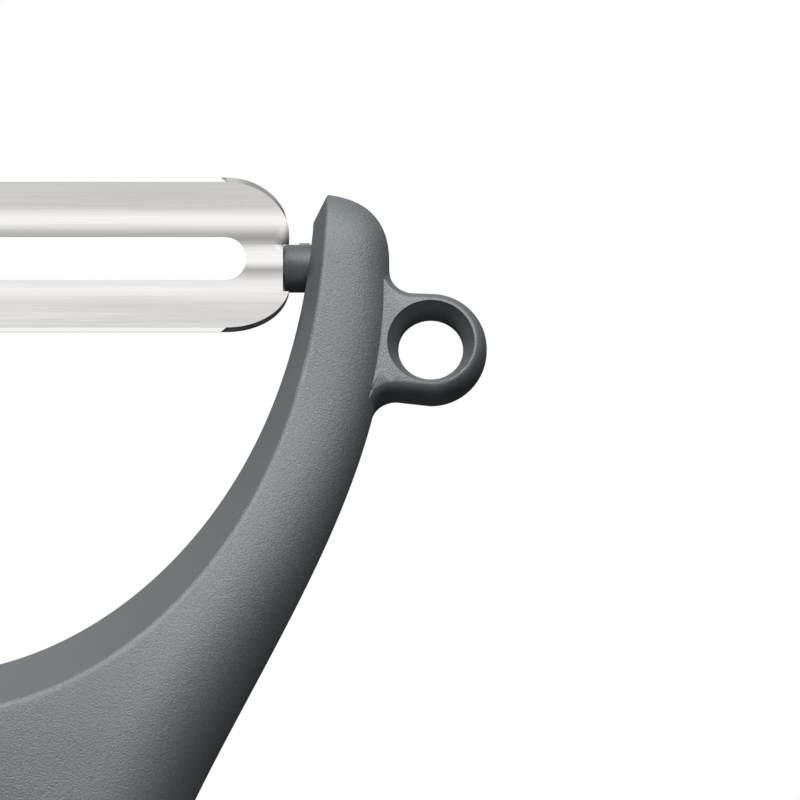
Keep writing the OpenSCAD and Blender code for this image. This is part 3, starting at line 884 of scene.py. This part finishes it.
# %% Lines where the sheet bends
def cut_line(mesh, point, normal):
    bmesh.ops.bisect_plane(mesh, geom=mesh.verts[:] + mesh.edges[:] + mesh.faces[:], dist=0.0001,
                           plane_co=point, plane_no=normal)


hollow_lines = 28
for count in range(hollow_lines + 1):
    angle = flange_angle * (2 * count / hollow_lines - 1)
    cut_line(sheet, (0, back_r * math.sin(angle), 0), (0, 1, 0))
for inside in (1.3, 1.05, 0.85, 0.65, 0.37, 0.24, 0.12):
    cut_line(sheet, (half_len - inside, 0, 0), (1, 0, 0))
print("sheet with bend lines", len(sheet.faces), "faces")

# %% [markdown]
# Bending moves each point to where the rolled sheet has it: an arc in the middle and two straight
# flanges that come forward. The fold of the ear draws the sheet's end back, most of all beside the
# ear and less and less further up and down. The sheet then gets its thickness behind the front.

# %% Bend the sheet and give it thickness
fold_w, fold_bow, fold_fades_up, fold_fades_down = 1.3, 0.12, 3.4, 1.6


def bent(x, height):
    hollow_end = back_r * math.sin(flange_angle)
    side = -1 if height < 0 else 1
    if abs(height) <= hollow_end:
        angle = math.asin(height / back_r)
        depth, z = hollow_r * math.cos(angle) - hollow_r, hollow_r * math.sin(angle)
    else:
        out = (abs(height) - hollow_end) / math.cos(flange_angle)
        depth = hollow_r * math.cos(flange_angle) - hollow_r - out * math.sin(flange_angle)
        z = side * (hollow_r * math.sin(flange_angle) + out * math.cos(flange_angle))
    from_fold = z - step_top / back_share
    near_fold = max(0, 1 - (from_fold / fold_fades_up if from_fold > 0 else -from_fold / fold_fades_down))
    drawn = max(0, x - (half_len - fold_w * near_fold))
    return Vector((x, depth + fold_bow * drawn ** 2, z))


for vertex in sheet.verts:
    vertex.co = bent(vertex.co.x, vertex.co.y)
bmesh.ops.mirror(sheet, geom=sheet.verts[:] + sheet.edges[:] + sheet.faces[:], matrix=Matrix.Identity(4),
                 merge_dist=0.0005, axis="X")
bmesh.ops.recalc_face_normals(sheet, faces=sheet.faces)
if sum(part.normal.y * part.calc_area() for part in sheet.faces) > 0:
    bmesh.ops.reverse_faces(sheet, faces=sheet.faces)
bmesh.ops.solidify(sheet, geom=sheet.faces[:], thickness=sheet_t)
depths = [vertex.co.y for vertex in sheet.verts]
print("sheet depth from", round(min(depths), 3), "to", round(max(depths), 3))

# %% [markdown]
# Both long edges are ground, up to the rounded corners, where the outline draws in. A cutter with
# a notch runs along each edge: one side of the notch makes the ground face in front, the other a
# small relief behind. The faces that lie on either side of the notch get the polished finish.

# %% Shape of the ground edge
def flange_point(out, thick):
    radius = hollow_r + thick
    return Vector((0, radius * math.cos(flange_angle) - hollow_r - out * math.sin(flange_angle),
                   radius * math.sin(flange_angle) + out * math.cos(flange_angle)))


ground_w, edge_depth, relief_w, grind_reach = 0.2, 0.345, 0.22, 1.5
flange_len = (edge_h - back_r * math.sin(flange_angle)) / math.cos(flange_angle)
edge_tip = flange_point(flange_len, edge_depth)
ground_front, relief_back = flange_point(flange_len - ground_w, 0), flange_point(flange_len - relief_w, sheet_t)
outwards = (flange_point(1, 0) - flange_point(0, 0)) * grind_reach
notch = [ground_front * 2 - edge_tip, edge_tip, relief_back * 2 - edge_tip]
notch += [notch[2] + outwards, notch[0] + outwards]
print("ground band in mm", round(edge_tip.z - ground_front.z, 3))

# %% Grind the cutting edges
grind_end = ground_end + 1
grinder = bmesh.new()
for side in (1, -1):
    corners = [grinder.verts.new((grind_end, point.y, side * point.z)) for point in notch]
    rim = [grinder.edges.new(pair) for pair in zip(corners, corners[1:] + corners[:1])]
    end_face = bmesh.ops.contextual_create(grinder, geom=rim)["faces"]
    far_end = bmesh.ops.extrude_face_region(grinder, geom=end_face)["geom"]
    for item in far_end:
        if isinstance(item, bmesh.types.BMVert):
            item.co.x = -item.co.x
bmesh.ops.recalc_face_normals(grinder, faces=grinder.faces)
sheet = cut_away(sheet, grinder)
for part in sheet.faces:
    middle = part.calc_center_median()
    middle.z = abs(middle.z)
    for low in (ground_front, relief_back):
        across = (edge_tip - low).cross(Vector((1, 0, 0))).normalized()
        if abs(across.dot(middle - low)) < 0.002 and abs(middle.x) < grind_end and middle.z > low.z:
            part.material_index = 1
print("ground faces", sum(part.material_index for part in sheet.faces))

# %% [markdown]
# The ears are flat tabs with a round end and a hole for the pin. Each is drawn and thickened flat,
# then stood at right angles at its end of the sheet, starting just behind the sheet's front.

# %% Fold back the ears
ear_start, pin_clearance = 0.6, 0.05
for side in (-1, 1):
    ear = bmesh.new()
    first, last = add_arc(ear, (0, stub_r), (0, 0), -180, 32)
    front_top, front_low = [ear.verts.new((ear_start - blade_reach, y, 0)) for y in (stub_r, -stub_r)]
    for pair in ((first, front_top), (front_top, front_low), (front_low, last)):
        ear.edges.new(pair)
    bmesh.ops.create_circle(ear, segments=40, radius=pin_r + pin_clearance)
    bmesh.ops.triangle_fill(ear, edges=ear.edges[:], use_beauty=True, normal=(0, 0, 1))
    bmesh.ops.recalc_face_normals(ear, faces=ear.faces)
    bmesh.ops.solidify(ear, geom=ear.faces[:], thickness=sheet_t - 0.01)
    lowest = min(vertex.co.z for vertex in ear.verts)
    bmesh.ops.translate(ear, vec=(0, 0, -lowest), verts=ear.verts)
    for vertex in ear.verts:
        u, v, w = vertex.co
        vertex.co = (side * (ear_span / 2 - sheet_t + w), u + blade_reach, v - axis_drop)
    bmesh.ops.recalc_face_normals(ear, faces=ear.faces)
    loose = bpy.data.meshes.new("ear")
    ear.to_mesh(loose)
    ear.free()
    sheet.from_mesh(loose)
    bpy.data.meshes.remove(loose)

# %% Put the blade on its pivot
bmesh.ops.recalc_face_normals(sheet, faces=sheet.faces)
blade_tilt = math.radians(10)
sheet.transform(Matrix.Translation(pivot) @ Matrix.Rotation(blade_tilt, 4, "X")
                @ Matrix.Translation((0, -blade_reach, axis_drop)))
finish_piece("blade_sheet", sheet, "blade", "blade", [brushed_steel, ground_steel])
